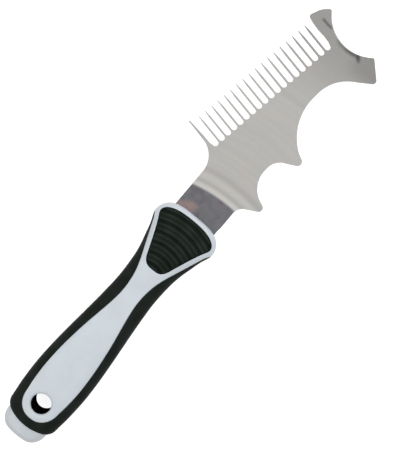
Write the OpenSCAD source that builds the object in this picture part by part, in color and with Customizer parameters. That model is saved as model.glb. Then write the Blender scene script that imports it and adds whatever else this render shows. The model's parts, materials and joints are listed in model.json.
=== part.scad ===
// Painter's multi tool: a stamped steel blade with a brush comb, two roller
// cleaning arcs and a scraping hook, held in a two-tone handle.
// X runs from the butt to the blade, Y to the comb side, Z out of the front face.
// The outlines are laid out from the handle's front edge, on the tool's axis.

/* [Handle] */
// Length of the grip, from the handle's front edge to the end of the soft band
grip_len = 129.2; // [125:0.1:135]
// Height of the blade's middle plane over the surface that the tool lies on
mid_z = 9; // [8.4:0.1:9.4]
// Squareness of the grip's cross-section, where 2 is an ellipse
section_power = 2.8; // [2.2:0.1:3.4]
// How far the butt cap stands out past the soft band
cap_reach = 6.5; // [5:0.5:8]

/* [Thumb pads] */
// Depth of the pads' surface below the frame round them
pad_drop = 0.3; // [0:0.1:0.6]
// Distance from one pad groove to the next
groove_pitch = 2.6; // [2.4:0.1:3]
// Width of a pad groove
groove_w = 1; // [0.6:0.1:1.4]
// Depth of a pad groove
groove_deep = 0.7; // [0.4:0.1:1]

/* [Hanging hole] */
// Radius of the hanging hole
hole_r = 5; // [4:0.1:5.2]
// Wall of the sleeve that lines the hanging hole
sleeve_wall = 0.9; // [0.6:0.1:1]
// Depth of the flared lips at both ends of the hole
lip_deep = 1.4; // [1:0.1:2]

/* [Blade] */
// Thickness of the blade at the neck and tang
neck_t = 2.2; // [1.8:0.1:2.6]
// Thickness of the ground blade in front of the neck
blade_t = 1.5; // [1:0.1:1.7]
// Half the width of the neck
neck_half = 12.1; // [11.5:0.1:12.4]
// Radius of the arc that cleans a standard roller cover
roller_r = 27.6; // [27:0.1:28]
// Radius of the arc that cleans a mini roller cover
mini_r = 12.9; // [12.8:0.05:13]
// Radius of the arc across the blade's end
end_r = 20.4; // [20:0.1:21]

/* [Comb] */
// Teeth between the spur and the end hook
tooth_count = 18; // [18:1:18]
// Distance from one tooth to the next
tooth_pitch = 3.97; // [3.9:0.01:4]
// Length of a tooth above the line of the gap floors
tooth_len = 16.8; // [14:0.1:18]
// Width of a tooth at its root
tooth_w = 0.9; // [0.7:0.05:1.2]
// How far a tooth's point leans towards the blade's end
tooth_tip_lean = 0.35; // [0:0.05:0.6]

/* [Hidden] */
$fn = 64;

// The middle of the tool's own box, which becomes the origin
box_mid = [-8.15, 3.75];

// Half-widths of the whole grip, as [x, half-width] stations
grip_stations = [[-130, 13.5], [-122.7, 13.7], [-114, 14.6], [-102.5, 15.1], [-91, 14.7],
    [-79.3, 13.75], [-67.7, 12.6], [-56, 11.55], [-44.5, 10.95], [-32.9, 11.55], [-27, 12.5],
    [-21.3, 14], [-15.5, 15.6], [-10.2, 17.65], [-6, 17.9], [2, 17.9]];
// Half-thicknesses of the grip
height_stations = [[-130, 6.9], [-124, 8], [-115, 8.9], [-100, 9.5], [-84, 9.55], [-66, 8.9],
    [-48, 8.3], [-34, 8.6], [-21, 9.5], [-12, 9.4], [-5, 8.2], [1, 6.9]];
// Half-widths of the hard spine and of the frame that it widens into
spine_stations = [[-126, 9.1], [-115, 9.5], [-109, 10.2], [-100.7, 10.65], [-92, 10.4],
    [-83.6, 9.7], [-72.2, 8.2], [-60.8, 6.2], [-55, 5.3], [-49.4, 4.8], [-43.7, 5],
    [-38, 5.9], [-32.3, 7.65], [-23.8, 11.1], [-15.2, 14.6], [-12.4, 15.8], [-9.6, 17.9],
    [-6, 21], [3, 23]];
// Half-widths of the thumb pads
pad_stations = [[-33, 5.4], [-29.5, 6.3], [-23.8, 8.5], [-18, 10.8], [-12.4, 13.3],
    [-8.5, 15.3], [-1, 17]];

butt_x = -grip_len;
front_x = 0.4;
spine_end_x = -124.1;
pad_rear_x = -32.4;
pad_front_x = -2;
hole_x = -115.4;
pocket_floor = 4.4;
sleeve_r = hole_r + sleeve_wall;
cap_x = butt_x - cap_reach;
cap_half = 11.4;
cap_corner = 7.5;
cap_t = 12.4;
cap_crown_r = 40;
tongue_end_x = -122.4;
tang_x = -72;
tang_half = 6.5;
tang_tip_half = 3;
grind_centre = [-56.7, -8];
grind_r = 72;
ramp = 3.6;
tooth_gap = tooth_pitch - tooth_w;
comb_angle = -9.8;
comb_start = [35.54, 14.0];
pin_xs = [-20, -62];
pin_r = 1.5;
pin_half = 4;
groove_centre_x = -41;
groove_first_r = 10.8;
groove_count = 11;

light_grey = [0.80, 0.83, 0.85];
black_rubber = [0.14, 0.16, 0.15];
steel = [0.72, 0.72, 0.70];

// A smooth curve through [x, value] stations
function station(s, x, i = 0) =
    (i >= len(s) - 2 || x < s[i + 1][0]) ? i : station(s, x, i + 1);
function slope(s, i) =
    let (a = max(i - 1, 0), b = min(i + 1, len(s) - 1))
    (s[b][1] - s[a][1]) / (s[b][0] - s[a][0]);
function curve(s, x) =
    let (i = station(s, x), d = s[i + 1][0] - s[i][0], t = (x - s[i][0]) / d)
    (2 * t * t * t - 3 * t * t + 1) * s[i][1] + (t * t * t - 2 * t * t + t) * d * slope(s, i)
    + (3 * t * t - 2 * t * t * t) * s[i + 1][1] + (t * t * t - t * t) * d * slope(s, i + 1);

// 1 along the part, falling to 0 over the last stretch before an end
function rounding(x, end, stretch, power) =
    let (t = 1 - abs(x - end) / stretch)
    t <= 0 ? 1 : pow(max(1 - t * t, 0), power);

// Points along x, closer together towards a rounded end
function eased(from, to, count) = [for (i = [0:count]) from + (to - from) * sin(90 * i / count)];
function even(from, to, count) = [for (i = [1:count]) from + (to - from) * i / count];
function reversed(v) = [for (i = [len(v) - 1:-1:0]) v[i]];

// Half the width and half the thickness of the grip at x
function grip_half(x) = curve(grip_stations, x) * rounding(x, butt_x, 6.5, 0.36)
    * rounding(x, front_x, 10, 0.28);
function grip_height(x) = curve(height_stations, x) * rounding(x, butt_x, 3.5, 0.16)
    * rounding(x, front_x, 2.2, 0.12);

// One cross-section of the grip, set in by inset
sides = 36;
function bulge(v) = sign(v) * pow(abs(v), 2 / section_power);
function ring(x, inset) = [for (i = [0:sides - 1])
    let (a = 360 * (i + 0.5) / sides)
    [x, (grip_half(x) - inset) * bulge(cos(a)), mid_z + (grip_height(x) - inset) * bulge(sin(a))]];

// The grip's whole body as one lofted solid
butt_stretch = reversed(eased(butt_x + 6.5, butt_x + 0.03, 5));
front_stretch = eased(-9.6, front_x - 0.03, 7);
long_stretch = even(butt_x + 6.5, -9.6, 28);
grip_xs = concat(butt_stretch, [for (i = [0:26]) long_stretch[i]], front_stretch);
module grip_body(xs = grip_xs, inset = 0) {
    last = len(xs) - 1;
    walls = [for (k = [0:last - 1], i = [0:sides - 1])
        let (j = (i + 1) % sides, a = k * sides, b = a + sides)
        each [[a + i, b + i, b + j], [a + i, b + j, a + j]]];
    caps = [[for (i = [0:sides - 1]) i], [for (i = [sides - 1:-1:0]) last * sides + i]];
    polyhedron([for (x = xs) each ring(x, inset)], concat(walls, caps), convexity = 6);
}

// A flat outline, the same on both sides of the axis
function outline(xs, halves) = concat(
    [for (i = [0:len(xs) - 1]) [xs[i], -halves[i]]],
    [for (i = [len(xs) - 1:-1:0]) [xs[i], halves[i]]]);

module spine_outline() {
    xs = concat(reversed(eased(-115, spine_end_x, 8)), even(-115, -9.6, 34), [-6, 3]);
    halves = [for (x = xs) curve(spine_stations, x) * rounding(x, spine_end_x, 9.1, 0.45)];
    polygon(outline(xs, halves));
}

module pad_outline() {
    rear = reversed(eased(pad_rear_x + 4, pad_rear_x, 6));
    front = eased(-8.8, pad_front_x, 12);
    xs = concat(rear, even(pad_rear_x + 4, -8.8, 12), [for (i = [1:12]) front[i]]);
    halves = [for (x = xs) curve(pad_stations, x) * rounding(x, pad_rear_x, 4, 0.3)
        * rounding(x, pad_front_x, 6.8, 0.4)];
    polygon(outline(xs, halves));
}

// The space over the surface that the tool rests on
module above_rest() {
    translate([-160, -40, 0]) cube([180, 80, 40]);
}

// The space on one side of the middle plane, from a height over it outwards
module half_space(side, from = 0) {
    translate([-160, -40, side > 0 ? mid_z + from : mid_z - from - 20]) cube([180, 80, 20]);
}

// The lower edge of the tang, with the inner end of the neck that it widens into
tang_edge = [[tang_x, -tang_tip_half], [-40, -tang_tip_half], [-30, -tang_half],
    [-12, -tang_half], [-8, -neck_half]];
function mirrored(points) = [for (p = points) [p[0], -p[1]]];

// The slot that the tang lies in, open at the handle's front edge
module tang_bed() {
    lower = concat(tang_edge, [[3, -neck_half]]);
    translate([0, 0, mid_z - neck_t / 2]) linear_extrude(neck_t)
        polygon(concat(lower, reversed(mirrored(lower))));
}

// One hard half of the handle; side is 1 for the front and -1 for the rear
module shell(side) {
    lip_z = grip_height(hole_x);
    difference() {
        intersection() {
            grip_body();
            above_rest();
            half_space(side);
            linear_extrude(40) spine_outline();
        }
        // Pocket for the thumb pad
        intersection() {
            half_space(side, pocket_floor);
            translate([0, 0, -20]) linear_extrude(60) pad_outline();
        }
        tang_bed();
        pins();
        // Seat of the sleeve, and the flared lip outside it
        translate([hole_x, 0, mid_z]) rotate([side > 0 ? 0 : 180, 0, 0]) {
            translate([0, 0, -1]) cylinder(r = sleeve_r, h = lip_z - lip_deep + 1);
            translate([0, 0, lip_z - lip_deep - 0.1])
                cylinder(r1 = hole_r, r2 = hole_r + 1.5, h = lip_deep + 0.1);
            cylinder(r = hole_r, h = 20);
        }
        cap_tongue();
    }
}

module front_shell() {
    color(light_grey) shell(1);
}

module rear_shell() {
    color(light_grey) shell(-1);
}

// The soft band along both sides of the grip and round its butt
module soft_grip() {
    color(black_rubber) difference() {
        intersection() {
            grip_body();
            above_rest();
        }
        translate([0, 0, -5]) linear_extrude(40) spine_outline();
        cap_block();
        cap_tongue();
    }
}

// One thumb pad with its curved grooves
module thumb_pad(side) {
    pad_xs = concat(even(-39, -9.6, 9), front_stretch);
    difference() {
        intersection() {
            grip_body(pad_xs, pad_drop);
            half_space(side, pocket_floor);
            translate([0, 0, -20]) linear_extrude(60) pad_outline();
        }
        difference() {
            for (i = [0:groove_count - 1]) {
                r = groove_first_r + i * groove_pitch;
                translate([groove_centre_x, 0, -1]) difference() {
                    cylinder(r = r + groove_w / 2, h = 22);
                    translate([0, 0, -1]) cylinder(r = r - groove_w / 2, h = 24);
                }
            }
            grip_body(pad_xs, pad_drop + groove_deep);
        }
    }
}

module front_thumb_pad() {
    color(black_rubber) thumb_pad(1);
}

module rear_thumb_pad() {
    color(black_rubber) intersection() {
        thumb_pad(-1);
        above_rest();
    }
}

// The cap's visible block, an oval in section, whose round corners run into a crowned end
module cap_block() {
    inner_x = -126.6;
    corner_y = cap_half - cap_corner;
    reach = cap_crown_r - cap_corner;
    centre_x = cap_x + cap_crown_r - sqrt(reach * reach - corner_y * corner_y);
    end_half = corner_y * cap_crown_r / reach;
    oval = [for (i = [0:2 * sides - 1])
        let (a = 180 * i / sides) [(cap_half + 0.8) * bulge(cos(a)), cap_t / 2 * bulge(sin(a))]];
    intersection() {
        translate([0, 0, mid_z - cap_t / 2]) linear_extrude(cap_t) intersection() {
            union() {
                for (s = [-1, 1]) translate([centre_x, s * corner_y]) circle(cap_corner);
                translate([cap_x - 1, -end_half]) square([inner_x - cap_x + 1, 2 * end_half]);
                translate([centre_x, -cap_half]) square([inner_x - centre_x, 2 * cap_half]);
            }
            translate([cap_x + cap_crown_r, 0]) circle(cap_crown_r);
        }
        translate([cap_x - 1, 0, mid_z]) rotate([90, 0, 90]) linear_extrude(inner_x - cap_x + 2)
            polygon(oval);
        translate([cap_x + cap_t / 2, cap_half + 1, mid_z]) rotate([90, 0, 0])
            linear_extrude(2 * cap_half + 2) {
                circle(cap_t / 2);
                translate([0, -cap_t / 2]) square([20, cap_t]);
            }
    }
}

// The cap's tongue, which plugs into the grip
module cap_tongue() {
    translate([cap_x + 4, -6, mid_z - 3]) cube([tongue_end_x - cap_x - 4, 12, 6]);
}

// The hard cap on the butt
module butt_cap() {
    color(light_grey) union() {
        cap_block();
        cap_tongue();
    }
}

// The sleeve that lines the hanging hole
module hang_hole_sleeve() {
    half = grip_height(hole_x) - lip_deep;
    color(black_rubber) translate([hole_x, 0, mid_z - half]) difference() {
        cylinder(r = sleeve_r, h = 2 * half);
        translate([0, 0, -1]) cylinder(r = hole_r, h = 2 * half + 2);
    }
}

// The two pins that lock the tang between the shells
module pins() {
    for (x = pin_xs)
        translate([x, 0, mid_z - pin_half]) cylinder(r = pin_r, h = 2 * pin_half);
}

module tang_pins() {
    color(steel) pins();
}

// Points on an arc about c, from one angle to another
function arc(c, r, from, to) =
    let (steps = max(ceil(abs(to - from) / 20), ceil(abs(to - from) / 180 * PI * r / 1.5)))
    [for (i = [0:steps]) let (a = from + (to - from) * i / steps) c + r * [cos(a), sin(a)]];

// A smooth curve through points, without the last of them
function through(p, steps = 6) = [for (i = [0:len(p) - 2], k = [0:steps - 1])
    let (t = k / steps, a = p[max(i - 1, 0)], b = p[i], c = p[i + 1], d = p[min(i + 2, len(p) - 1)])
    b + t / 2 * (c - a + t * (2 * a - 5 * b + 4 * c - d + t * (3 * b - a - 3 * c + d)))];

// Where the two roller arcs turn down into the hooks after them
mini_shoulder = [[39.1, -11.12], [43.2, -11.8], [46.6, -14.3], [48.9, -18.6], [50.33, -21.36]];
roller_shoulder = [[81.4, -6.76], [87.5, -7.63], [93.1, -10.07], [97.65, -14.12], [101, -19.1],
    [104.35, -24.37]];

// A point of the comb, s along the line of its gap floors and h above it
function comb_point(s, h) =
    comb_start + [cos(comb_angle) * s - sin(comb_angle) * h, sin(comb_angle) * s + cos(comb_angle) * h];

// The round floor of the gap after tooth i, from the far side to the near one
function gap_floor(i) =
    arc(comb_point((i + 0.5) * tooth_pitch, tooth_gap / 2), tooth_gap / 2, comb_angle, comb_angle - 180);

// Tooth i, with a long taper to a blunt point, from its far flank to its near one
function tooth(i) = [for (p = [[0.48, 0.76], [0.14, 1], [-0.14, 1], [-0.48, 0.76]])
    comb_point(i * tooth_pitch + p[0] * tooth_w + p[1] * tooth_tip_lean, p[1] * tooth_len)];

// The blade's outline: the tang, the lower edge with its two arcs, the end
// arc, the hook, the comb from its far end to its near one, and the spur
function blade_outline() = concat(
    tang_edge,
    [[1.5, -neck_half], [4, -neck_half - 0.3]],
    arc([13, -neck_half - 6.3], 6, 90, 28),
    arc([23.1, -20.15], 2.15, 208, 345),
    arc([37.75, -23.95], mini_r, 165, 88),
    through(mini_shoulder),
    arc([52.35, -20.5], 2.2, 203, 330),
    arc([78.5, -34.2], roller_r, 146, 86),
    through(roller_shoulder),
    arc([105.8, -23.7], 1.6, 205, 313),
    arc([113.45, -17], 0.9, -42, 35),
    arc([130.3, -3.8], end_r, 218, 124),
    arc([118.4, 14.1], 1, -56, 45),
    [[117.2, 17], [115.6, 18.2]],
    arc([111.1, 19], 1.2, 62, 160),
    [[109, 16.8], [108, 12.8], [107.4, 8.4], [106.6, 5]],
    [for (i = [tooth_count - 1:-1:0]) each concat(gap_floor(i), tooth(i))],
    gap_floor(-1),
    [[32.2, 18], [33.1, 23]],
    [[34.35, 32.2], [33.95, 32.8], [33.6, 32.2], [32.6, 27.2]],
    arc([19.5, 24], 12.15, -6, -86),
    [[15, neck_half - 0.2]],
    reversed(mirrored(tang_edge)));

// The stamped steel sheet: thick at the neck, ground thin in front of it, with
// a curved shoulder where the grinding wheel ran out
module blade() {
    color(steel) difference() {
        intersection() {
            translate([0, 0, mid_z - neck_t / 2]) linear_extrude(neck_t)
                polygon(blade_outline());
            translate(concat(grind_centre, mid_z)) rotate_extrude()
                polygon([[0, -neck_t / 2 - 0.2], [grind_r - ramp / 2, -neck_t / 2 - 0.2],
                    [grind_r - ramp / 2, -neck_t / 2], [grind_r + ramp / 2, -blade_t / 2],
                    [200, -blade_t / 2], [200, blade_t / 2], [grind_r + ramp / 2, blade_t / 2],
                    [grind_r - ramp / 2, neck_t / 2], [grind_r - ramp / 2, neck_t / 2 + 0.2],
                    [0, neck_t / 2 + 0.2]]);
        }
        pins();
    }
}

translate([-box_mid[0], -box_mid[1], 0]) {
    blade();
    front_shell();
    rear_shell();
    soft_grip();
    front_thumb_pad();
    rear_thumb_pad();
    butt_cap();
    hang_hole_sleeve();
    tang_pins();
}
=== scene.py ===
import json
import math

import bmesh
import bpy
import numpy as np
from mathutils import Matrix, Vector


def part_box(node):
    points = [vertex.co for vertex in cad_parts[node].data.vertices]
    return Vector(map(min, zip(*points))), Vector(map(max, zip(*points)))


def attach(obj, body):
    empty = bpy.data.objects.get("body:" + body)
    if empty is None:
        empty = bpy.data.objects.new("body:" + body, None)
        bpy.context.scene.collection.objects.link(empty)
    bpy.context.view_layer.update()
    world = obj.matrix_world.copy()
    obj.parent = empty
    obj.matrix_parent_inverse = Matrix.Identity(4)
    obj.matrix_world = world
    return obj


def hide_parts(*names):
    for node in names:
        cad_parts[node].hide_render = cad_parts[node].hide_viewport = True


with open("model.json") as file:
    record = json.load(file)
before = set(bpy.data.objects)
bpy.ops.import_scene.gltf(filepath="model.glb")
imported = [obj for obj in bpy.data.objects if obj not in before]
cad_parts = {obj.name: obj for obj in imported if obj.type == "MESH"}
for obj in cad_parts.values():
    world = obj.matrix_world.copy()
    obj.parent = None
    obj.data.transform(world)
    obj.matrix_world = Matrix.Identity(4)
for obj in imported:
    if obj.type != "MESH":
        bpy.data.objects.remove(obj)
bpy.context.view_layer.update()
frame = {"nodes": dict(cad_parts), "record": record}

# Painter's multi tool. Lengths are in millimetres on the tool's own axes: X from
# the handle's front edge to the blade's end, Y to the comb side, and Z from the
# middle plane of the blade out of the front face. seat() sets a piece in the frame.

MM = 0.001
HOLE_X = -115.4
HOLE_R = 5.0

hole = next(m for m in frame["record"]["mounts"] if m["name"] == "hang_hole")
origin = Vector(hole["pos_m"]) - Vector((HOLE_X * MM, 0, 0))
REST_Z = (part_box("rear_shell")[0].z - origin.z) / MM
CAP_X = (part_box("butt_cap")[0].x - origin.x) / MM
FRONT_X = (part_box("front_shell")[1].x - origin.x) / MM

# Half-widths and half-thicknesses of the grip, as (x, value) stations
GRIP_WIDE = [(-130, 13.5), (-122.7, 13.7), (-114, 14.6), (-102.5, 15.1), (-91, 14.7),
             (-79.3, 13.75), (-67.7, 12.6), (-56, 11.55), (-44.5, 10.95), (-32.9, 11.55),
             (-27, 12.5), (-21.3, 14), (-15.5, 15.6), (-10.2, 17.65), (-6, 17.9), (2, 17.9)]
GRIP_THICK = [(-130, 6.9), (-124, 8), (-115, 8.9), (-100, 9.47), (-84, 9.52), (-66, 8.9),
              (-48, 8.3), (-34, 8.6), (-21, 9.5), (-12, 9.4), (-5, 8.2), (1, 6.9)]
# Half-widths of the hard spine, and of the thumb pads
SPINE_WIDE = [(-126, 9.1), (-115, 9.5), (-109, 10.2), (-100.7, 10.65), (-92, 10.4),
              (-83.6, 9.7), (-72.2, 8.2), (-60.8, 6.2), (-55, 5.3), (-49.4, 4.8), (-43.7, 5),
              (-38, 5.9), (-32.3, 7.65), (-23.8, 11.1), (-15.2, 14.6), (-12.4, 15.8),
              (-9.6, 17.9), (-6, 21), (3, 23)]
PAD_WIDE = [(-33, 5.4), (-29.5, 6.3), (-23.8, 8.5), (-18, 10.8), (-12.4, 13.3), (-8.5, 15.3),
            (-1, 17)]
# Power of the grip's cross-section, where 2 is an ellipse
SQUARENESS = 2.8
BUTT_X = -129.2
GRIP_END_X = 0.4
# Ends of the spine and the pads, and where their outlines start to round off
SPINE_END_X = -124.1
SPINE_TURN_X = -115.0
PAD_REAR_X = -32.4
PAD_REAR_TURN_X = -28.4
PAD_FRONT_X = -2.0
PAD_FRONT_TURN_X = -8.8
POCKET_FLOOR = 4.4
PAD_DROP = 0.3

# Height of the flat tops that pieces are cut to, and the depth that is lifted with a top
PLATE = 12.0
LIFTED = 2.2
# Width and depth of the rounded lips at the seams, and the insets that shape them
LIP = 0.4
LIP_STEPS = (0.05, 0.1, 0.15, 0.2, 0.25)
# Width and depth of the flare round the hanging hole
FLARE = 1.2
FLARE_DEEP = 1.3
# Size of the squares that a plate's top is cut into
GRID = 1.2
NECK_HALF_T = 1.1


# ---- The grip's shape ----

def slope(stations, i):
    """Slope of the smooth curve at station i."""
    before = stations[max(i - 1, 0)]
    after = stations[min(i + 1, len(stations) - 1)]
    return (after[1] - before[1]) / (after[0] - before[0])


def along(stations, x):
    """Value at x of the smooth curve through the stations."""
    i = 0
    while i < len(stations) - 2 and x >= stations[i + 1][0]:
        i += 1
    (x0, v0), (x1, v1) = stations[i], stations[i + 1]
    d = x1 - x0
    t = (x - x0) / d
    rise = (2 * t**3 - 3 * t**2 + 1) * v0 + (3 * t**2 - 2 * t**3) * v1
    lean = (t**3 - 2 * t**2 + t) * slope(stations, i) + (t**3 - t**2) * slope(stations, i + 1)
    return rise + lean * d


def rounding(x, end, stretch, power):
    """1 along the tool, falling to 0 over the last stretch before an end."""
    t = 1 - abs(x - end) / stretch
    if t <= 0:
        return 1.0
    return max(1 - t * t, 0) ** power


def grip_half(x):
    ends = rounding(x, BUTT_X, 6.5, 0.36) * rounding(x, GRIP_END_X, 10, 0.28)
    return along(GRIP_WIDE, x) * ends


def grip_height(x):
    ends = rounding(x, BUTT_X, 3.5, 0.1) * rounding(x, GRIP_END_X, 2.2, 0.12)
    return along(GRIP_THICK, x) * ends


def crown(x, y):
    """Height of the grip's skin over the middle plane."""
    half = grip_half(x)
    if abs(y) >= half:
        return 0.0
    return grip_height(x) * (1 - (abs(y) / half) ** SQUARENESS) ** (1 / SQUARENESS)


def spine_half(x):
    return along(SPINE_WIDE, x) * rounding(x, SPINE_END_X, 9.1, 0.45)


def tip_place(low=-12.0, high=-9.0):
    """Where the seam runs out at the grip's edge, and the soft band ends in a point."""
    for _ in range(40):
        middle = (low + high) / 2
        if spine_half(middle) < grip_half(middle):
            low = middle
        else:
            high = middle
    return low


TIP_X = tip_place()


def pad_half(x):
    ends = rounding(x, PAD_REAR_X, 4, 0.3) * rounding(x, PAD_FRONT_X, 6.8, 0.4)
    return along(PAD_WIDE, x) * ends


def eased(start, end, count):
    """Places from start to end that crowd together towards the end."""
    return [start + (end - start) * math.sin(math.pi / 2 * i / count) for i in range(count + 1)]


def even(start, end, count):
    """Evenly spaced places between start and end, without the two."""
    return [start + (end - start) * i / count for i in range(1, count)]


def outline(xs, half, inset=0.0):
    """Points round a flat shape that is the same on both sides of the axis."""
    halves = [(x, max(half(x) - inset, 0)) for x in xs]
    lower = [(x, -h) for x, h in halves]
    upper = [(x, h) for x, h in reversed(halves) if h > 0.01]
    return lower + upper


def shell_outline():
    """The hard spine, and the frame in front that is as wide as the grip."""
    xs = eased(SPINE_TURN_X, SPINE_END_X, 12)[::-1] + even(SPINE_TURN_X, TIP_X, 84)
    xs += eased(TIP_X, FRONT_X, 16)
    return outline(xs, lambda x: min(spine_half(x), grip_half(x)))


def pad_outline(inset=0.0):
    """A thumb pad's outline, narrow behind and broad in front."""
    xs = eased(PAD_REAR_TURN_X, PAD_REAR_X + inset, 8)[::-1]
    xs += even(PAD_REAR_TURN_X, PAD_FRONT_TURN_X, 16)
    xs += eased(PAD_FRONT_TURN_X, PAD_FRONT_X - inset, 14)
    return outline(xs, pad_half, inset)


def seam_line():
    """The seam between spine and soft band, on both sides, as a fine line of points."""
    xs = eased(SPINE_TURN_X, SPINE_END_X, 40)[::-1] + even(SPINE_TURN_X, TIP_X, 300)
    return outline(xs, spine_half)


# ---- Workshop ----

def deselect():
    if bpy.context.object and bpy.context.object.mode != "OBJECT":
        bpy.ops.object.mode_set(mode="OBJECT")
    bpy.ops.object.select_all(action="DESELECT")


def take(piece):
    """Makes a piece the only selected one."""
    deselect()
    piece.select_set(True)
    bpy.context.view_layer.objects.active = piece


def edit(piece):
    take(piece)
    bpy.ops.object.mode_set(mode="EDIT")


def done():
    bpy.ops.object.mode_set(mode="OBJECT")


def choose(piece, kind, rule):
    """Selects the vertices, edges or faces that a rule picks, on a piece in edit mode."""
    bpy.ops.mesh.select_mode(type=kind)
    bpy.ops.mesh.select_all(action="DESELECT")
    mesh = bmesh.from_edit_mesh(piece.data)
    found = {"VERT": mesh.verts, "EDGE": mesh.edges, "FACE": mesh.faces}[kind]
    for part in found:
        if rule(part):
            part.select_set(True)
    bmesh.update_edit_mesh(piece.data)


def apply_modifier(piece, kind, **settings):
    """Adds a modifier with its settings and applies it."""
    change = piece.modifiers.new(kind.lower(), kind)
    for name, value in settings.items():
        setattr(change, name, value)
    take(piece)
    bpy.ops.object.modifier_apply(modifier=change.name)


def cut(piece, tool, operation="DIFFERENCE"):
    """Cuts a piece with another one, which is used up."""
    apply_modifier(piece, "BOOLEAN", object=tool, operation=operation, solver="EXACT")
    bpy.data.objects.remove(tool)


def disc(name, points, z=0.0):
    """A flat disc whose rim points are set round an outline."""
    deselect()
    bpy.ops.mesh.primitive_circle_add(vertices=len(points), fill_type="NGON")
    piece = bpy.context.object
    piece.name = name
    for corner, (x, y) in zip(piece.data.vertices, points):
        corner.co = (x, y, z)
    return piece


def plate(name, points, low, high):
    """A flat plate with an outline, from one height to another."""
    piece = disc(name, points, low)
    edit(piece)
    bpy.ops.mesh.select_all(action="SELECT")
    bpy.ops.mesh.extrude_region_move(TRANSFORM_OT_translate={"value": (0, 0, high - low)})
    bpy.ops.mesh.select_all(action="SELECT")
    bpy.ops.mesh.normals_make_consistent(inside=False)
    done()
    return piece


def peg(name, radius, low, high, sides=96):
    """A round peg in the hanging hole's place."""
    deselect()
    middle = (HOLE_X, 0, (low + high) / 2)
    bpy.ops.mesh.primitive_cylinder_add(vertices=sides, radius=radius, depth=high - low,
                                        location=middle)
    piece = bpy.context.object
    piece.name = name
    bpy.ops.object.transform_apply(location=True, rotation=False, scale=False)
    return piece


def bevel_rim(piece, z, width, segments):
    """Rounds the edges of a plate that lie at one height."""
    edit(piece)
    choose(piece, "EDGE", lambda e: all(abs(v.co.z - z) < 1e-4 for v in e.verts)
           and len(e.link_faces) == 2 and e.calc_face_angle(0) > 0.5)
    bpy.ops.mesh.bevel(offset=width, segments=segments, affect="EDGES")
    done()


def is_top(face):
    """Whether a face is the flat top of a plate."""
    return face.normal.z > 0.9 and face.calc_center_median().z > PLATE - 0.01


def grade_top(piece, steps):
    """Insets the top in narrow steps, and cuts what is left of it into a grid."""
    edit(piece)
    choose(piece, "FACE", is_top)
    for step in steps:
        bpy.ops.mesh.inset(thickness=step, use_even_offset=True)
    mesh = bmesh.from_edit_mesh(piece.data)
    inner = mesh.faces.layers.int.new("inner")
    for face in mesh.faces:
        face[inner] = int(face.select)
    bmesh.update_edit_mesh(piece.data)
    ends = [(min(v.co[axis] for v in mesh.verts), max(v.co[axis] for v in mesh.verts))
            for axis in (0, 1)]
    for axis, (low, high) in enumerate(ends):
        across = Vector((1 - axis, axis, 0))
        count = int((high - low) / GRID)
        for k in range(count):
            place = low + (k + 0.5) * (high - low) / count
            cut_line(piece, across * place, across)
    done()
    piece.data.attributes.remove(piece.data.attributes["inner"])


def cut_line(piece, place, across):
    """Cuts the inner part of the top along a plane."""
    mesh = bmesh.from_edit_mesh(piece.data)
    inner = mesh.faces.layers.int["inner"]
    choose(piece, "FACE", lambda f: f[inner] == 1 and crosses(f, place, across))
    bpy.ops.mesh.bisect(plane_co=place, plane_no=across)


def crosses(face, place, across):
    """Whether a face has corners on both sides of a plane."""
    sides = [(v.co - place).dot(across) for v in face.verts]
    return min(sides) < 0 < max(sides)


def gaps(points, line):
    """Distance of each point from a line of points, all seen from above."""
    p = np.array(points)[:, None, :]
    a = np.array(line[:-1])[None]
    b = np.array(line[1:])[None]
    d = b - a
    t = np.clip(((p - a) * d).sum(2) / (d * d).sum(2), 0, 1)
    near = a + t[..., None] * d
    return np.sqrt(((p - near) ** 2).sum(2)).min(1)


def lip_drop(gap, wide=LIP, deep=LIP):
    """How far a rounded lip falls away, at a distance from its edge."""
    t = max(1 - gap / wide, 0)
    return deep * (1 - math.sqrt(1 - t * t))


def lift(piece, surface):
    """Raises a plate's flat top to a curved surface, keeping what is cut into it."""
    raised = [v for v in piece.data.vertices if v.co.z > PLATE - LIFTED]
    places = [(v.co.x, v.co.y) for v in raised]
    heights = surface(places)
    for corner, height in zip(raised, heights):
        corner.co.z = height - (PLATE - corner.co.z)


def to_rear(piece):
    """Turns a front piece into its rear twin, which is flat where the tool rests."""
    for corner in piece.data.vertices:
        corner.co.z = max(-corner.co.z, REST_Z)
    edit(piece)
    bpy.ops.mesh.select_all(action="SELECT")
    bpy.ops.mesh.normals_make_consistent(inside=False)
    done()


def seat(piece, name, node, finish, angle=35):
    """Sets a finished piece in the frame in place of its CAD node."""
    take(piece)
    piece.name = name
    piece.data.name = name
    piece.data.transform(Matrix.Translation(origin) @ Matrix.Scale(MM, 4))
    if angle:
        bpy.ops.object.shade_smooth_by_angle(angle=math.radians(angle))
    piece.data.materials.clear()
    piece.data.materials.append(finish)
    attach(piece, "root")
    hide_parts(node)


# ---- Pieces ----

# Lower edge of the tang's slot, and the sleeve's wall and half-length
TANG_EDGE = [(-72, -3), (-40, -3), (-30, -6.5), (-12, -6.5), (-8, -12.1), (3, -12.1)]
SLEEVE_WALL = 0.9
SLEEVE_HALF = 7.45


def hard_shell(name):
    """The front half of the hard spine, with its pocket, tang slot and hole."""
    piece = plate(name, shell_outline(), 0, PLATE)
    bevel_rim(piece, 0, 0.15, 2)
    cut(piece, plate("pocket", pad_outline(), POCKET_FLOOR, PLATE + 1))
    cut(piece, plate("tang_slot", TANG_EDGE + [(x, -y) for x, y in TANG_EDGE[::-1]],
                     -1, NECK_HALF_T))
    cut(piece, peg("bore", HOLE_R, -1, PLATE + 1))
    cut(piece, peg("sleeve_seat", HOLE_R + SLEEVE_WALL + 0.05, -1, SLEEVE_HALF + 0.05))
    grade_top(piece, LIP_STEPS)
    lift(piece, shell_surface)
    return piece


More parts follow.
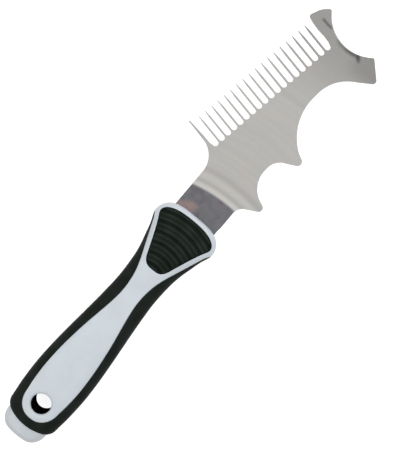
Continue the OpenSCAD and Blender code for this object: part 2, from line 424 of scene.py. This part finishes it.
def shell_surface(places):
    """The grip's skin, rounded off at the seam and the pocket, and flared into the hole."""
    seam = gaps(places, seam_line())
    pocket = gaps(places, pad_outline() + pad_outline()[:1])
    heights = []
    for (x, y), at_seam, at_pocket in zip(places, seam, pocket):
        at_hole = math.hypot(x - HOLE_X, y) - HOLE_R
        edge = min(at_pocket, at_seam if x < TIP_X - 1 else LIP)
        drop = lip_drop(edge) + lip_drop(max(at_hole, 0), FLARE, FLARE_DEEP)
        heights.append(crown(x, y) - drop)
    return heights


GROOVE_CENTRE_X = -41.0
GROOVE_FIRST_R = 10.8
GROOVE_PITCH = 2.6
GROOVES = 11
# Half-width and depth of the deep and the shallow grooves
DEEP_GROOVE = (0.75, 0.75)
SHALLOW_GROOVE = (0.5, 0.35)
# Half the angle that the ribs sweep through, their columns, and their depth
RIB_SWEEP = 36
RIB_COLUMNS = 61
RIBS_DEEP = 7
# Gap between a pad and its pocket, room over its ribs, and its rounded edge
PAD_GAP = 0.05
RIB_ROOM = 0.2
PAD_EDGE = 1.1


def rib_profile():
    """(radius, height) points across the pad's ribs, with deep and shallow grooves in turn."""
    points = [(7.5, 0.0), (8.8, 0.0)]
    for k in range(GROOVES):
        middle = GROOVE_FIRST_R + k * GROOVE_PITCH
        wide, deep = DEEP_GROOVE if k % 2 == 0 else SHALLOW_GROOVE
        for t in (-1, -0.8, -0.45, 0, 0.45, 0.8, 1):
            points.append((middle + t * wide, -deep * (1 - abs(t) ** 2.4)))
        # The crown of the rib after the groove
        points.append((middle + 1.05, 0.09))
        points.append((middle + 1.45, 0.11))
    points.append((-GROOVE_CENTRE_X, 0.0))
    return points


def ribbed_pad(name):
    """The front thumb pad: curved ribs trimmed to the pad's rounded outline."""
    profile = rib_profile()
    deselect()
    bpy.ops.mesh.primitive_grid_add(x_subdivisions=len(profile) - 1,
                                    y_subdivisions=RIB_COLUMNS - 1)
    piece = bpy.context.object
    for i, corner in enumerate(piece.data.vertices):
        row, column = i % len(profile), i // len(profile)
        radius, height = profile[row]
        turn = math.radians(RIB_SWEEP * (2 * column / (RIB_COLUMNS - 1) - 1))
        x = GROOVE_CENTRE_X + radius * math.cos(turn)
        corner.co = (x, radius * math.sin(turn), PLATE + height)
    edit(piece)
    bpy.ops.mesh.select_all(action="SELECT")
    bpy.ops.mesh.extrude_region_move(TRANSFORM_OT_translate={"value": (0, 0, -RIBS_DEEP)})
    bpy.ops.mesh.select_all(action="SELECT")
    bpy.ops.mesh.normals_make_consistent(inside=False)
    done()
    trim = plate("trim", pad_outline(PAD_GAP), POCKET_FLOOR + PAD_GAP, PLATE + RIB_ROOM)
    bevel_rim(trim, PLATE + RIB_ROOM, PAD_EDGE, 5)
    cut(trim, piece, "INTERSECT")
    lift(trim, lambda places: [crown(x, y) - PAD_DROP for x, y in places])
    trim.name = name
    return trim


def measured(points, count):
    """Even places along a line of points."""
    lengths = [0.0]
    for a, b in zip(points, points[1:]):
        lengths.append(lengths[-1] + (Vector(b) - Vector(a)).length)
    places = []
    for k in range(count):
        want = lengths[-1] * k / (count - 1)
        i = max(j for j in range(len(points) - 1) if lengths[j] <= want + 1e-9)
        share = (want - lengths[i]) / max(lengths[i + 1] - lengths[i], 1e-9)
        places.append(Vector(points[i]).lerp(Vector(points[i + 1]), min(share, 1)))
    return places


def band_sections():
    """Pairs of plan points, on the seam and on the grip's edge, from tip round to tip."""
    turn_x = SPINE_TURN_X + 2
    side = [TIP_X - 12 * (1 - math.cos(math.pi / 2 * k / 16)) for k in range(2, 17)]
    side += even(side[-1], turn_x, 64)
    comb = [(Vector((x, spine_half(x))), Vector((x, grip_half(x)))) for x in side]
    inner = [(x, spine_half(x)) for x in eased(turn_x, SPINE_END_X, 200)]
    outer = [(x, grip_half(x)) for x in eased(turn_x, BUTT_X, 200)]
    butt = list(zip(measured(inner, 22), measured(outer, 22)))
    half = comb + butt
    other = [(Vector((a.x, -a.y)), Vector((b.x, -b.y))) for a, b in half[-2::-1]]
    return half + other


def band_ring(start, end, count=13):
    """One closed section of the soft band, from the seam over its skin and back below."""
    wide = (end - start).length
    lip = min(LIP, wide * 0.3)
    # Fine places from the seam to the edge, crowding together where the skin turns down
    shares = [1 - (1 - k / 120) ** 3 for k in range(121)]
    skin = []
    for share in shares:
        p = start.lerp(end, share)
        skin.append((p.x, p.y, crown(p.x, p.y)))
    skin[-1] = (end.x, end.y, 0.0)
    edge_z = skin[0][2]
    lips = []
    for gap in (0, 0.12, 0.35, 0.7):
        p = start.lerp(end, gap * lip / wide)
        drop = min(lip_drop(gap * lip, lip, lip), edge_z * 0.5)
        lips.append(Vector((p.x, p.y, crown(p.x, p.y) - drop)))
    rest = [s for s, share in zip(skin, shares) if share * wide >= lip]
    upper = lips + measured(rest, count)
    lower = [Vector((p.x, p.y, max(-p.z, REST_Z))) for p in upper[-2::-1]]
    inside = Vector((start.x, start.y, 0))
    return [inside] + upper + lower + [inside]


def soft_band(name):
    """The soft band: sections set along the seam and closed at both pointed tips."""
    rings = [band_ring(a, b) for a, b in band_sections()]
    tip = Vector((TIP_X, grip_half(TIP_X), 0))
    other_tip = Vector((TIP_X, -grip_half(TIP_X), 0))
    rings = [[tip] * len(rings[0])] + rings + [[other_tip] * len(rings[0])]
    deselect()
    bpy.ops.mesh.primitive_grid_add(x_subdivisions=len(rings[0]) - 1,
                                    y_subdivisions=len(rings) - 1)
    piece = bpy.context.object
    piece.name = name
    for i, corner in enumerate(piece.data.vertices):
        corner.co = rings[i // len(rings[0])][i % len(rings[0])]
    edit(piece)
    bpy.ops.mesh.select_all(action="SELECT")
    bpy.ops.mesh.remove_doubles(threshold=0.0002)
    bpy.ops.mesh.normals_make_consistent(inside=False)
    done()
    cut(piece, end_cap("cap_seat"))
    return piece


CAP_HALF = 11.4
CAP_CORNER = 7.5
CAP_CROWN_R = 40.0
CAP_HALF_T = 6.2
# Half-width at which the cap's oval section would close
CAP_OVAL_HALF = 12.2
CAP_ROUND = 3.2
CAP_INNER_X = -126.8
TONGUE_START_X = CAP_X + 8
TONGUE_END_X = -122.6
TONGUE_HALF = 6
TONGUE_HALF_T = 3


def cap_outline():
    """The cap's plan: square inside the grip, round corners that run into a crowned end."""
    corner_y = CAP_HALF - CAP_CORNER
    reach = CAP_CROWN_R - CAP_CORNER
    lean = math.asin(corner_y / reach)
    crown_x = CAP_X + CAP_CROWN_R
    centre_x = crown_x - reach * math.cos(lean)
    points = [(CAP_INNER_X, CAP_HALF)]
    for k in range(17):
        turn = math.pi / 2 + (math.pi / 2 - lean) * k / 16
        points.append((centre_x + CAP_CORNER * math.cos(turn),
                       corner_y + CAP_CORNER * math.sin(turn)))
    for k in range(1, 6):
        turn = lean * (1 - k / 6)
        points.append((crown_x - CAP_CROWN_R * math.cos(turn), CAP_CROWN_R * math.sin(turn)))
    return points + [(CAP_X, 0)] + [(x, -y) for x, y in points[::-1]]


def end_cap(name):
    """The hard cap on the butt, an oval in section, with its edges rounded over."""
    piece = plate(name, cap_outline(), -CAP_HALF_T, CAP_HALF_T)
    edit(piece)
    for z in (-CAP_HALF_T, CAP_HALF_T):
        choose(piece, "EDGE", lambda e: is_outer_rim(e, z))
        bpy.ops.mesh.bevel(offset=CAP_ROUND, segments=8, affect="EDGES")
    for y in even(-CAP_HALF, CAP_HALF, 24):
        bpy.ops.mesh.select_all(action="SELECT")
        bpy.ops.mesh.bisect(plane_co=(0, y, 0), plane_no=(0, 1, 0))
    done()
    for corner in piece.data.vertices:
        share = (abs(corner.co.y) / CAP_OVAL_HALF) ** SQUARENESS
        corner.co.z *= (1 - share) ** (1 / SQUARENESS)
    tongue = [(TONGUE_START_X, -TONGUE_HALF), (TONGUE_END_X, -TONGUE_HALF),
              (TONGUE_END_X, TONGUE_HALF), (TONGUE_START_X, TONGUE_HALF)]
    cut(piece, plate("tongue", tongue, -TONGUE_HALF_T, TONGUE_HALF_T), "UNION")
    return piece


def is_outer_rim(edge, z):
    """Whether an edge of the cap lies at one height, outside the grip."""
    level = all(abs(v.co.z - z) < 1e-4 for v in edge.verts)
    return level and min(v.co.x for v in edge.verts) < CAP_INNER_X - 0.01


def sleeve(name):
    """The tube that lines the hanging hole."""
    piece = peg(name, HOLE_R + SLEEVE_WALL, -SLEEVE_HALF, SLEEVE_HALF)
    edit(piece)
    choose(piece, "FACE", lambda f: abs(f.normal.z) > 0.9)
    bpy.ops.mesh.inset(thickness=SLEEVE_WALL)
    bpy.ops.mesh.bridge_edge_loops()
    done()
    apply_modifier(piece, "BEVEL", width=0.2, segments=2, limit_method="ANGLE",
                   angle_limit=math.radians(50))
    return piece


END_ARC = Vector((130.3, -3.8))
END_ARC_R = 20.4
SCRAPING_EDGE = 0.55
SHEARED_EDGE = 0.18


def on_end_arc(edge):
    """Whether an edge runs along the scraping arc, on either face of the sheet."""
    near = all(abs((v.co.xy - END_ARC).length - END_ARC_R) < 0.04 for v in edge.verts)
    return near and abs(edge.verts[0].co.z - edge.verts[1].co.z) < 0.01


def blade_sheet(name):
    """The stamped sheet, with its sheared edges eased."""
    piece = bpy.data.objects.new(name, frame["nodes"]["blade"].data.copy())
    bpy.context.scene.collection.objects.link(piece)
    piece.data.transform(Matrix.Scale(1 / MM, 4) @ Matrix.Translation(-origin))
    edit(piece)
    bpy.ops.mesh.select_all(action="SELECT")
    bpy.ops.mesh.customdata_custom_splitnormals_clear()
    bpy.ops.mesh.remove_doubles(threshold=0.001)
    bpy.ops.mesh.dissolve_limited(angle_limit=math.radians(0.5))
    choose(piece, "EDGE", on_end_arc)
    bpy.ops.mesh.bevel(offset=SCRAPING_EDGE, segments=1, affect="EDGES")
    done()
    apply_modifier(piece, "BEVEL", width=SHEARED_EDGE, segments=2, limit_method="ANGLE",
                   angle_limit=math.radians(50))
    bpy.ops.object.shade_smooth()
    apply_modifier(piece, "WEIGHTED_NORMAL", mode="FACE_AREA", weight=50)
    return piece


# ---- Finishes ----

def linear(*shade):
    """A colour given as it is seen, from 0 to 255, in the shader's own scale."""
    values = []
    for part in shade:
        v = part / 255
        values.append(v / 12.92 if v <= 0.04045 else ((v + 0.055) / 1.055) ** 2.4)
    return (*values, 1.0)


class Value:
    """A value that varies over a surface. Arithmetic on it adds Math nodes."""

    def __init__(self, finish, socket):
        self.finish = finish
        self.socket = socket

    def math(self, operation, *others):
        """Puts this value, and any others after it, through a Math node."""
        return self.finish.math(operation, self, *others)

    def __add__(self, other):
        return self.math("ADD", other)

    __radd__ = __add__

    def __sub__(self, other):
        return self.math("SUBTRACT", other)

    def __rsub__(self, other):
        return self.finish.math("SUBTRACT", other, self)

    def __mul__(self, other):
        return self.math("MULTIPLY", other)

    __rmul__ = __mul__

    def __truediv__(self, other):
        return self.math("DIVIDE", other)

    def __pow__(self, other):
        return self.math("POWER", other)

    def __abs__(self):
        return self.math("ABSOLUTE")

    def rise(self, low, high):
        """0 below low, 1 above high, and smooth between them."""
        return self.finish.node("ShaderNodeMapRange", {"interpolation_type": "SMOOTHSTEP"},
                                {"Value": self, "From Min": low, "From Max": high})


class Finish:
    """A material whose patterns are laid out in millimetres on the tool's axes."""

    def __init__(self, name):
        self.material = bpy.data.materials.new(name)
        self.material.use_nodes = True
        self.tree = self.material.node_tree
        self.shader = self.tree.nodes["Principled BSDF"]
        metres = self.node("ShaderNodeTexCoord", output="Object")
        self.place = self.node("ShaderNodeMapping", inputs={
            "Vector": metres, "Location": -origin / MM, "Scale": (1 / MM,) * 3})
        self.x, self.y, self.z = self.split(self.place)

    def node(self, kind, settings=None, inputs=(), output=0):
        """Adds a node: its type, its settings, then the values or links of its sockets."""
        made = self.tree.nodes.new(kind)
        for name, value in (settings or {}).items():
            setattr(made, name, value)
        pairs = inputs.items() if isinstance(inputs, dict) else enumerate(inputs)
        for key, value in pairs:
            self.feed(made.inputs[key], value)
        return Value(self, made.outputs[output])

    def feed(self, socket, value):
        """Links a value to a socket, or sets a plain number or colour on it."""
        if isinstance(value, Value):
            self.tree.links.new(value.socket, socket)
        else:
            socket.default_value = value

    def math(self, operation, *values):
        return self.node("ShaderNodeMath", {"operation": operation}, values)

    def split(self, vector):
        """The x, y and z of a vector."""
        made = self.tree.nodes.new("ShaderNodeSeparateXYZ")
        self.feed(made.inputs[0], vector)
        return [Value(self, made.outputs[k]) for k in range(3)]

    def noise(self, size, detail=2.0, rough=0.5, where=None):
        """Cloudy noise from 0 to 1, with patches of about that size."""
        return self.node("ShaderNodeTexNoise", inputs={
            "Vector": where or self.place, "Scale": 1 / size, "Detail": detail,
            "Roughness": rough})

    def mix(self, share, first, second):
        """A colour between two colours."""
        return self.node("ShaderNodeMix", {"data_type": "RGBA"},
                         {0: share, 6: first, 7: second}, output=2)

    def facing(self):
        """How far the surface lies in the plane of the tool, from 0 to 1."""
        normal = self.node("ShaderNodeNewGeometry", output="Normal")
        return abs(self.split(normal)[2])

    def sharpness(self, low, high):
        """1 on sharp outer edges, 0 on flat and hollow places."""
        return self.node("ShaderNodeNewGeometry", output="Pointiness").rise(low, high)

    def bump(self, height, distance, strength=1.0):
        """Fine relief; height is from 0 to 1 and distance in millimetres."""
        relief = self.node("ShaderNodeBump", inputs={
            "Strength": strength, "Distance": distance * MM, "Height": height})
        self.feed(self.shader.inputs["Normal"], relief)

    def set(self, **values):
        """Feeds the shader's sockets, named with underscores, and gives the material."""
        for name, value in values.items():
            self.feed(self.shader.inputs[name.replace("_", " ")], value)
        return self.material


GRIND_CENTRE = Vector((-56.7, -8.0))
GRIND_R = 70.4


def band_at(value, middle, half):
    """1 in the middle of a narrow band, falling to 0 at its edges."""
    return 1 - abs(value - middle).rise(0.0, half)


def neck_steel_dark_reflection(f):
    """The unground neck: mottled steel painted dark as its polished face's reflection, with a
    heat tint on the comb side.
    """
    steel = f.mix(f.noise(4, 3).rise(0.4, 0.6), linear(74, 73, 79), linear(84, 82, 88))
    steel = f.mix(f.noise(3, 3).rise(0.5, 0.68) * 0.7, steel, linear(74, 79, 77))
    heat = 1 - (f.x + f.y * 0.78).rise(8, 12.5)
    heat = heat * f.y.rise(0.5, 5.5) * (1 - f.x.rise(3.5, 7))
    return f.mix(heat * 0.7, steel, linear(124, 102, 99))


def satin_steel(f, past, streaks):
    """The ground blade: bands and lines at fixed distances past the shoulder, a painted highlight
    at the run-out, and painted shade at its end.
    """
    steel = f.mix(streaks.rise(0.3, 0.7), linear(144, 142, 139), linear(149, 147, 144))
    steel = f.mix(f.noise(14, 2).rise(0.3, 0.7) * 0.4, steel, linear(142, 144, 143))
    steel = f.mix(f.noise(11, 2).rise(0.52, 0.68) * 0.5, steel, linear(151, 143, 139))
    # Painted highlight: a bright band just past the shoulder, where the grind's slope catches the
    # light
    run_out_highlight = past.rise(0.4, 1.2) * (1 - past.rise(2, 3.8))
    steel = f.mix(run_out_highlight * 0.8, steel, linear(162, 161, 157))
    steel = f.mix(band_at(past, 7, 2.4) * 0.45, steel, linear(162, 160, 155))
    lines = band_at(past, 4.2, 1.6) * 0.3 + band_at(past, 10.2, 2.4) * 0.45
    lines = lines + band_at(past, 61, 2.2) * 0.25
    steel = f.mix(lines, steel, linear(127, 122, 120))
    # Painted shade: darker towards the blade's end, and more at its lower corner
    steel = f.mix(f.x.rise(70, 112), steel, linear(121, 120, 118))
    corner = f.x.rise(98, 107) * (1 - f.y.rise(-15, -6))
    return f.mix(corner * 0.7, steel, linear(105, 104, 102))


def ground_steel():
    """Satin steel: an unground neck painted dark as a reflection, a painted highlight at the
    run-out, and grind marks in arcs.
    """
    f = Finish("ground_steel")
    dx = f.x - GRIND_CENTRE.x
    dy = f.y - GRIND_CENTRE.y
    radius = (dx * dx + dy * dy) ** 0.5
    past = radius - GRIND_R
    arcs = f.node("ShaderNodeCombineXYZ", inputs=(radius, dy.math("ARCTAN2", dx) * 6, 0.0))
    hairlines = f.noise(0.16, 3, 0.6, arcs)
    streaks = f.noise(3.2, 2, 0.5, arcs)
    colour = f.mix(past.rise(-0.2, 1.4), neck_steel_dark_reflection(f), satin_steel(f, past, streaks))
    colour = f.mix((hairlines - 0.5) * 0.25 + 0.12, colour, linear(130, 129, 127))
    # Painted shade where the blade's end is ground to a bevel
    colour = f.mix(end_bevel_shade(f) * 0.85, colour, linear(60, 59, 58))
    edge = 1 - f.facing().rise(0.3, 0.95)
    colour = f.mix(edge * 0.5, colour, linear(175, 174, 172))
    f.bump(hairlines, 0.02, 0.5)
    return f.set(Base_Color=colour, Metallic=1.0, Roughness=0.33 + hairlines * 0.14)


def end_bevel_shade(f):
    """Painted shade of the ground bevel at the blade's end: along the scraping arc's edge, across
    the hook, and at the corner.
    """
    dx = f.x - END_ARC.x
    dy = f.y - END_ARC.y
    from_edge = (dx * dx + dy * dy) ** 0.5 - END_ARC_R
    wander = f.noise(2.2, 2) - 0.5
    rim = 1 - (from_edge + wander * 0.8).rise(0.8, 2.9)
    rim = rim * (1 - f.y.rise(0, 4)) * f.y.rise(-12.5, -10)
    rim = rim * (1 - f.y.rise(-7, -1) * 0.4)
    hook_line = abs(f.x - 112.9 - (f.y - 11) * 0.14 + wander)
    hook = (1 - hook_line.rise(0.1, 1.2)) * f.y.rise(6.5, 9) * (1 - f.y.rise(13, 15.5))
    corner_x = f.x - 109
    corner_y = f.y + 11.6
    length = (corner_x + corner_y) * 0.45
    width = (corner_x - corner_y) * 0.7
    corner_shade = 1 - ((length * length + width * width) ** 0.5).rise(0.3, 1.7)
    marks = rim * 0.9 + hook * 0.8 + corner_shade * 0.8
    return marks.math("MINIMUM", 1.0)


def hard_plastic(name, light, shade):
    """Moulded light grey plastic with a fine spark-eroded grain."""
    f = Finish(name)
    grain = f.noise(0.22, 3, 0.6)
    clouds = f.noise(9, 2)
    colour = f.mix(clouds.rise(0.3, 0.7), light, shade)
    colour = f.mix((grain - 0.5) * 0.3 + 0.1, colour, linear(160, 166, 171))
    # Lighter on sharp edges and lips: partly wear, partly a painted highlight
    colour = f.mix(f.sharpness(0.54, 0.62) * 0.35, colour, linear(208, 212, 215))
    f.bump(grain, 0.03, 0.35)
    return f.set(Base_Color=colour, Roughness=0.4 + grain * 0.12)


def rubber_colour(f, dark, light):
    """Clouds of two near blacks, a little paler on sharp edges, partly from wear and partly as
    painted sheen.
    """
    colour = f.mix(f.noise(7, 3).rise(0.3, 0.7), dark, light)
    return f.mix(f.sharpness(0.53, 0.6) * 0.4, colour, linear(48, 53, 50))


def soft_rubber(name, dark, light, gloss):
    """Soft black rubber with a fine matt grain."""
    f = Finish(name)
    grain = f.noise(0.18, 3, 0.65)
    f.bump(grain, 0.04, 0.5)
    return f.set(Base_Color=rubber_colour(f, dark, light), Roughness=0.55 + grain * 0.15,
                 Specular_IOR_Level=gloss)


def pad_rubber():
    """The pads' rubber: greenish ribs, with painted shade in the grooves and a painted shadow on
    the rounded rim.
    """
    f = Finish("ribbed_black_rubber")
    grain = f.noise(0.18, 3, 0.65)
    dx = f.x - GROOVE_CENTRE_X
    radius = (dx * dx + f.y * f.y) ** 0.5
    count = (radius - GROOVE_FIRST_R) / (2 * GROOVE_PITCH) + 0.5
    from_deep = abs(count.math("FRACT") - 0.5) * (2 * GROOVE_PITCH)
    from_shallow = GROOVE_PITCH - from_deep
    # Painted shade in the grooves, the deep ones darker than the shallow ones
    grooves = (1 - from_deep.rise(0.4, 1.0)) + (1 - from_shallow.rise(0.2, 0.7)) * 0.5
    colour = rubber_colour(f, linear(19, 28, 21), linear(30, 38, 32))
    colour = f.mix(grooves * 0.42, colour, linear(5, 9, 7))
    # Painted shadow: darker where the surface tilts away from the tool's plane, as on the rounded
    # rim
    colour = f.mix((1 - f.facing().rise(0.6, 0.97)) * 0.7, colour, linear(8, 13, 15))
    f.bump(grain, 0.04, 0.5)
    return f.set(Base_Color=colour, Roughness=0.55 + grain * 0.15, Specular_IOR_Level=0.07)


def pin_steel():
    f = Finish("pin_steel")
    turned = f.noise(0.3, 2, 0.6)
    colour = f.mix(turned, linear(150, 150, 150), linear(190, 190, 188))
    f.bump(turned, 0.01, 0.4)
    return f.set(Base_Color=colour, Metallic=1.0, Roughness=0.3 + turned * 0.1)


def floor_finish():
    f = Finish("pale_floor")
    colour = f.mix(f.noise(40, 2), linear(150, 150, 150), linear(156, 156, 156))
    return f.set(Base_Color=colour, Roughness=0.8, Emission_Color=(1, 1, 1, 1),
                 Emission_Strength=0.87)


# ---- The tool ----

def make_tool():
    """Makes every piece and sets it in its place."""
    grey = hard_plastic("light_grey_plastic", linear(174, 181, 187), linear(179, 186, 191))
    # The cap is the spine's grey plastic, painted darker as shade on the butt's lower, rounded
    # end
    cap_painted_shade = hard_plastic("cap_plastic_painted_shade", linear(168, 173, 178), linear(174, 179, 183))
    rubber = soft_rubber("black_rubber", linear(19, 25, 21), linear(26, 31, 28), 0.05)
    pad_black = pad_rubber()
    sleeve_rubber = soft_rubber("sleeve_black", linear(4, 4, 4), linear(7, 7, 7), 0.0)
    seat(blade_sheet("blade_sheet"), "blade_sheet", "blade", ground_steel(), None)
    seat(hard_shell("front"), "front_hard_shell", "front_shell", grey)
    rear = hard_shell("rear")
    to_rear(rear)
    seat(rear, "rear_hard_shell", "rear_shell", grey)
    seat(soft_band("band"), "soft_side_band", "soft_grip", rubber)
    seat(ribbed_pad("pad"), "front_ribbed_pad", "front_thumb_pad", pad_black)
    rear_pad = ribbed_pad("rear_pad")
    to_rear(rear_pad)
    seat(rear_pad, "rear_ribbed_pad", "rear_thumb_pad", pad_black)
    seat(end_cap("cap"), "butt_end_cap", "butt_cap", cap_painted_shade)
    seat(sleeve("sleeve"), "hole_sleeve", "hang_hole_sleeve", sleeve_rubber)
    pins = frame["nodes"]["tang_pins"]
    pins.data.materials.clear()
    pins.data.materials.append(pin_steel())


# ---- Studio ----

# Height, aside from the tool's axis, lens and turn of the camera; lengths in metres
CAMERA_HEIGHT = 0.45
CAMERA_ASIDE = -0.00819
CAMERA_LENS = 71.64
CAMERA_TURN = -50.3


def make_camera():
    """Straight above the tool, turned so that the blade points up and to the right."""
    data = bpy.data.cameras.new("camera")
    data.lens = CAMERA_LENS
    data.sensor_width = 36
    data.clip_start = 0.01
    camera = bpy.data.objects.new("camera", data)
    camera.location = (origin.x, origin.y + CAMERA_ASIDE, CAMERA_HEIGHT)
    camera.rotation_euler = (0, 0, math.radians(CAMERA_TURN))
    bpy.context.scene.collection.objects.link(camera)
    bpy.context.scene.camera = camera


def softbox(name, location, target, size, power):
    """A square light of one size, aimed at a target."""
    data = bpy.data.lights.new(name, "AREA")
    data.shape = "SQUARE"
    data.size = size
    data.energy = power
    light = bpy.data.objects.new(name, data)
    light.location = location
    aim = Vector(target) - Vector(location)
    light.rotation_euler = aim.to_track_quat("-Z", "Y").to_euler()
    bpy.context.scene.collection.objects.link(light)


def make_studio():
    """Soft light from all round, three softboxes, and a pale floor."""
    world = bpy.data.worlds.new("studio")
    world.use_nodes = True
    world.node_tree.nodes["Background"].inputs["Color"].default_value = (1, 1, 1, 1)
    world.node_tree.nodes["Background"].inputs["Strength"].default_value = 0.6
    bpy.context.scene.world = world
    bpy.context.scene.view_settings.view_transform = "Standard"
    softbox("overhead", (0.1, 0.03, 0.8), (0.1, 0.03, 0), 1.2, 5.6)
    softbox("key", (-0.45, 0.4, 0.55), (0, 0, 0), 0.35, 0.8)
    softbox("blade_side", (0.7, -0.1, 0.4), (0, 0, 0), 0.5, 2.5)
    deselect()
    bpy.ops.mesh.primitive_plane_add(size=6)
    floor = bpy.context.object
    floor.name = "floor"
    floor.data.materials.append(floor_finish())


make_camera()
make_tool()
make_studio()
deselect()
